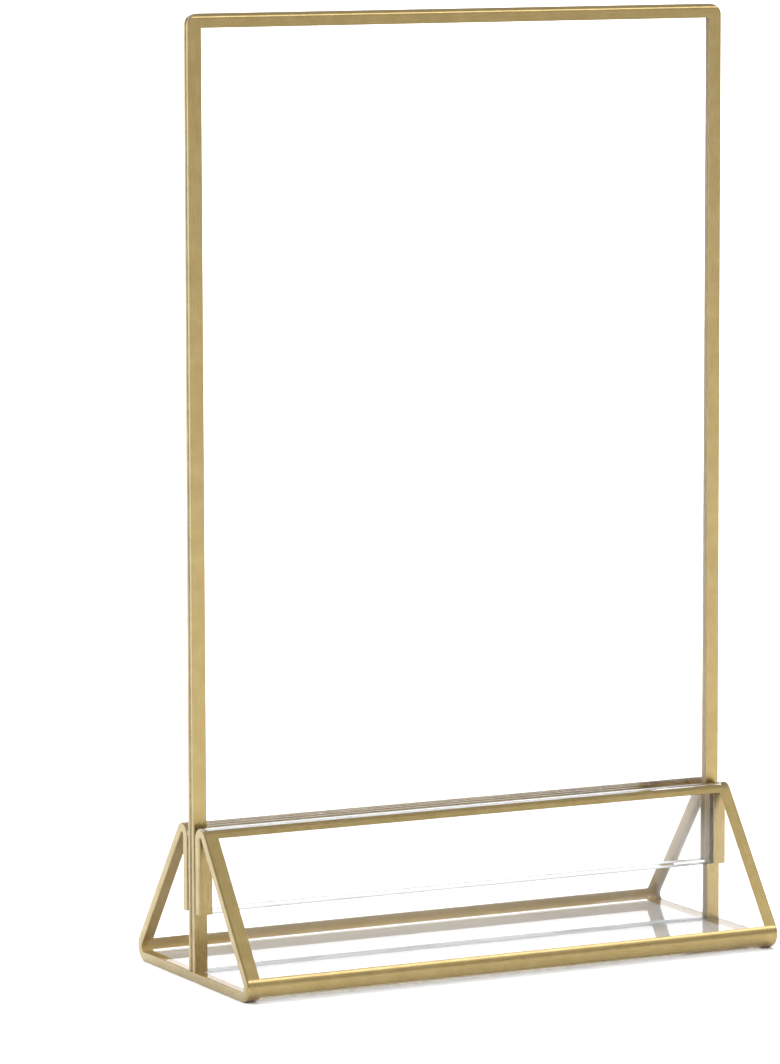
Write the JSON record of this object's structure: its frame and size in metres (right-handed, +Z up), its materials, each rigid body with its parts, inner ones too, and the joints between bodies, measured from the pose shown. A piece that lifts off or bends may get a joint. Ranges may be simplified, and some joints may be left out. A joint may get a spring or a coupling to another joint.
{
  "type": "table number holder",
  "caption": "Free-standing clear acrylic card holder: a folded upright panel in the slot of a bent triangular base, with gold foil borders and edges.",
  "frame": {"origin": "on the table, under the middle of the base", "axes": "+Z up, +X to the right across the sign, -Y towards the viewer"},
  "size_m": [0.1334, 0.0572, 0.2129],
  "materials": {
    "clear_acrylic": "clear, polished",
    "gold_foil": "satin gold foil"
  },
  "bodies": {
    "base": {"base_sheet": "clear_acrylic", "base_left_edge": "gold_foil", "base_right_edge": "gold_foil", "front_slope_left_band": "gold_foil", "front_slope_right_band": "gold_foil", "front_flap_left_band": "gold_foil", "front_flap_right_band": "gold_foil", "front_nose_band": "gold_foil", "front_crest_band": "gold_foil", "rear_slope_left_band": "gold_foil", "rear_slope_right_band": "gold_foil", "rear_flap_left_band": "gold_foil", "rear_flap_right_band": "gold_foil", "rear_nose_band": "gold_foil", "rear_crest_band": "gold_foil", "bottom_left_band": "gold_foil", "bottom_right_band": "gold_foil"},
    "sign_panel": {"panel_sheet": "clear_acrylic", "panel_front_border": "gold_foil", "panel_rear_border": "gold_foil", "panel_fold_band": "gold_foil", "panel_left_edge": "gold_foil", "panel_right_edge": "gold_foil"}
  },
  "joints": [
    {"name": "panel_lift", "type": "slide", "parent": "base", "child": "sign_panel", "axis": [0, 0, 1], "range_m": [0, 0.04]}
  ]
}
